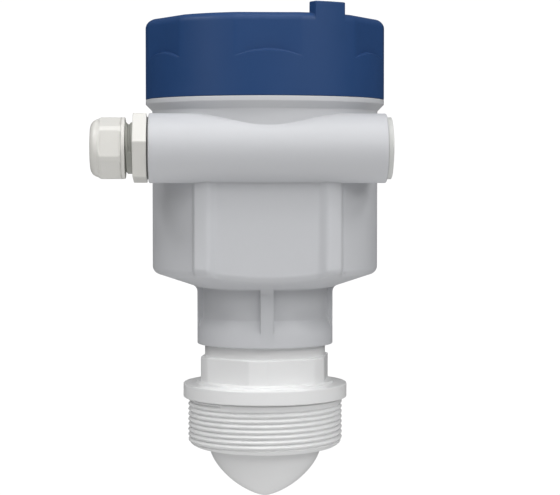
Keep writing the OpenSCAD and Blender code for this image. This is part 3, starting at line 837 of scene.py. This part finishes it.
# painted shade: the exposed cap thread gets a darker copy of the gland material, standing in for the shadow between
# the cap nut's collar and the hexagon
gland_body.data.materials.append(GLAND_THREAD_PAINTED_SHADE)
for face in gland_body.data.polygons:
    out, off, up = -face.center.x * 1000 - ENTRY_X, face.center.y * 1000 - ENTRY_Y, face.center.z * 1000 - ENTRY_Z
    if out > G1 + 0.02 and math.hypot(off, up) > 8.2:
        face.material_index = 1
finish_piece(build_cap_nut(), GLAND, "gland_cap_nut", ["gland_cap_nut"], sharp=26)
finish_piece(build_plug(), PLUG, "blind_plug", ["blind_plug"], sharp=28)

gasket = place(turned("gland_gasket_ring", rounded([(10.02, 0.01), (11.4, 0.01, 0.25), (11.4, G0 - 0.01, 0.25), (10.02, G0 - 0.01)]), 144), AT_LEFT)
finish_piece(gasket, GASKET, "housing", ["gland_gasket"])
insert = place(turned("gland_insert_sleeve", rounded([(4.0, N0 + 1.4, 0.3), (7.2, N0 + 1.4, 0.3), (7.2, N0 + 9.2), (6.2, N0 + 10.6, 0.3),
                                                      (4.8, N0 + 10.6), (4.0, N0 + 9.8)]), 120), AT_LEFT)
finish_piece(insert, INSERT, "gland_insert", ["gland_insert"])
washer = place(turned("plug_seal_ring", rounded([(10.05, 0.05), (10.9, 0.05, 0.15), (10.9, 0.55, 0.15), (10.05, 0.55)]), 120), AT_RIGHT)
finish_piece(washer, SEAL, "plug_seal", ["plug_seal"])
seal = turned("lid_seal_ring", rounded([(CAV_R + 0.1, SEAL_Z + 0.05, 0.6, 5), (42.8, SEAL_Z + 0.05, 0.6, 5), (42.8, SEAL_Z + 2.4, 0.6, 5),
                                        (CAV_R + 0.1, SEAL_Z + 2.4, 0.6, 5)]), 240)
finish_piece(seal, SEAL, "lid_seal", ["lid_seal"])


# ------------------------------------------------------------------ the CAD pieces that stay

for name, ob in NODES.items():
    if ob.hide_render:
        continue
    slot = NODE_SLOT[name]
    ob.data.materials.clear()
    ob.data.materials.append(SLOT[slot])


# ------------------------------------------------------------------ floor, light, camera

def build_floor():
    th = np.arange(96) * TAU / 96
    rows = [[(x, y, -300.0) for x, y, _ in ring(6000, 0, th)], [(x, y, -300.0) for x, y, _ in ring(3000, 0, th)],
            [(x, y, -300.0) for x, y, _ in ring(500, 0, th)]]
    verts, faces = [], []
    for row in rows:
        verts += row
    n = 96
    for i in range(2):
        for k in range(n):
            l = (k + 1) % n
            faces.append((i * n + k, i * n + l, (i + 1) * n + l, (i + 1) * n + k))
    faces.append(tuple(2 * n + k for k in range(n)))
    ob = mesh_object("studio_floor", verts, faces)
    ob.data.transform(Matrix.Scale(0.001, 4))
    m, nt = material("studio_floor_pale")
    out = node(nt, "ShaderNodeOutputMaterial")
    sh = node(nt, "ShaderNodeEmission", Strength=1.06)
    co = node(nt, "ShaderNodeTexCoord")
    noise = node(nt, "ShaderNodeTexNoise", Scale=2.0, Detail=2.0)
    ramp = node(nt, "ShaderNodeValToRGB")
    ramp.color_ramp.elements[0].color = (0.985, 0.985, 0.985, 1)
    ramp.color_ramp.elements[1].color = (1.0, 1.0, 1.0, 1)
    nt.links.new(co.outputs["Object"], noise.inputs["Vector"])
    nt.links.new(noise.outputs["Fac"], ramp.inputs["Fac"])
    nt.links.new(ramp.outputs["Color"], sh.inputs["Color"])
    nt.links.new(sh.outputs["Emission"], out.inputs["Surface"])
    ob.data.materials.append(m)
    ob.visible_diffuse = False
    ob.visible_glossy = False
    ob.visible_transmission = False
    ob.visible_shadow = False
    return ob


build_floor()


def build_world():
    world = bpy.data.worlds.new("studio")
    bpy.context.scene.world = world
    world.use_nodes = True
    nt = world.node_tree
    nt.nodes.clear()
    link = nt.links.new
    out = node(nt, "ShaderNodeOutputWorld")
    co = node(nt, "ShaderNodeTexCoord")

    def math_node(op, a, b, clamp=False):
        n = node(nt, "ShaderNodeMath", _operation=op, _use_clamp=clamp)
        for i, v in enumerate((a, b)):
            if isinstance(v, (int, float)):
                n.inputs[i].default_value = v
            else:
                link(v, n.inputs[i])
        return n.outputs[0]

    # a soft room: a lit table below, some light from above and from the viewer's side, dark behind
    def glow(direction, power, strength):
        dot = node(nt, "ShaderNodeVectorMath", _operation="DOT_PRODUCT")
        link(co.outputs["Generated"], dot.inputs[0])
        dot.inputs[1].default_value = Vector(direction).normalized()
        return math_node("MULTIPLY", math_node("POWER", math_node("MAXIMUM", dot.outputs["Value"], 0.0), power), strength)

    total = 0.01
    for direction, power, strength in (((0, 0, -1), 2, 1.27), ((0, 0, 1), 2, 0.43), ((0, -1, 0), 2, 0.11),
                                       ((1, -1, 0), 6, 0.305), ((-1, -1, 0), 6, 0.187), ((1, 0, 0), 2, 0.055)):
        total = math_node("ADD", glow(direction, power, strength), total)
    soft = node(nt, "ShaderNodeBackground")
    soft.inputs["Color"].default_value = (1.0, 1.0, 1.0, 1)
    link(total, soft.inputs["Strength"])
    white = node(nt, "ShaderNodeBackground")
    white.inputs["Color"].default_value = (1, 1, 1, 1)
    white.inputs["Strength"].default_value = 1.05
    path = node(nt, "ShaderNodeLightPath")
    mix = node(nt, "ShaderNodeMixShader")
    link(path.outputs["Is Camera Ray"], mix.inputs["Fac"])
    link(soft.outputs[0], mix.inputs[1])
    link(white.outputs[0], mix.inputs[2])
    link(mix.outputs[0], out.inputs["Surface"])


build_world()


def area(name, at, target, size, power, colour=(1, 1, 1)):
    data = bpy.data.lights.new(name, "AREA")
    data.shape = "RECTANGLE"
    data.size, data.size_y = size
    data.energy = power
    data.color = colour
    ob = bpy.data.objects.new(name, data)
    bpy.context.scene.collection.objects.link(ob)
    ob.location = at
    ob.rotation_euler = (Vector(target) - Vector(at)).to_track_quat("-Z", "Y").to_euler()
    ob.visible_camera = False
    return ob


# soft boxes on a sphere of 1.6 m: turn from the viewer to the right, height, power
for name, turn, rise, size, power in (("key_front", -10, 46, 0.40, 3.22), ("key_right", 55, 24, 0.40, 3.36), ("key_right_high", 55, 46, 0.40, 5.10),
                                      ("fill_right", 30, 24, 0.40, 1.82), ("fill_front", 9, 24, 0.40, 1.55), ("key_left", -55, 24, 0.40, 2.34),
                                      ("fill_left_low", -55, 2, 0.40, 1.05), ("fill_left_high", -56, 46, 0.40, 1.52), ("edge_left", -80, 42, 0.40, 4.73),
                                      ("fill_left", -30, 24, 0.40, 0.29), ("key_top", 0, 72, 0.60, 4.56)):
    t, r = math.radians(turn), math.radians(rise)
    at = (1.6 * math.sin(t) * math.cos(r), -1.6 * math.cos(t) * math.cos(r), 0.075 + 1.6 * math.sin(r))
    area(name, at, (0, 0, 0.075), (size, size), power)

cam_data = bpy.data.cameras.new("camera")
cam_data.sensor_width = 36.0
cam_data.sensor_fit = "HORIZONTAL"
cam_data.lens = 1767 / 560 * 36.0
cam_data.clip_start = 0.05
cam_data.clip_end = 30
cam = bpy.data.objects.new("camera", cam_data)
bpy.context.scene.collection.objects.link(cam)
azimuth, distance, height, pitch, yaw = math.radians(1.72), 0.6844, 0.0868, math.radians(2.44), math.radians(1.72 + 0.488)
cam.location = (-distance * math.sin(azimuth), -distance * math.cos(azimuth), height)
look = Vector((math.sin(yaw) * math.cos(pitch), math.cos(yaw) * math.cos(pitch), -math.sin(pitch)))
cam.rotation_euler = look.to_track_quat("-Z", "Y").to_euler()
bpy.context.scene.camera = cam

view = bpy.context.scene.view_settings
view.view_transform = "Standard"
view.look = "None"
view.exposure = 0.0
view.gamma = 1.0
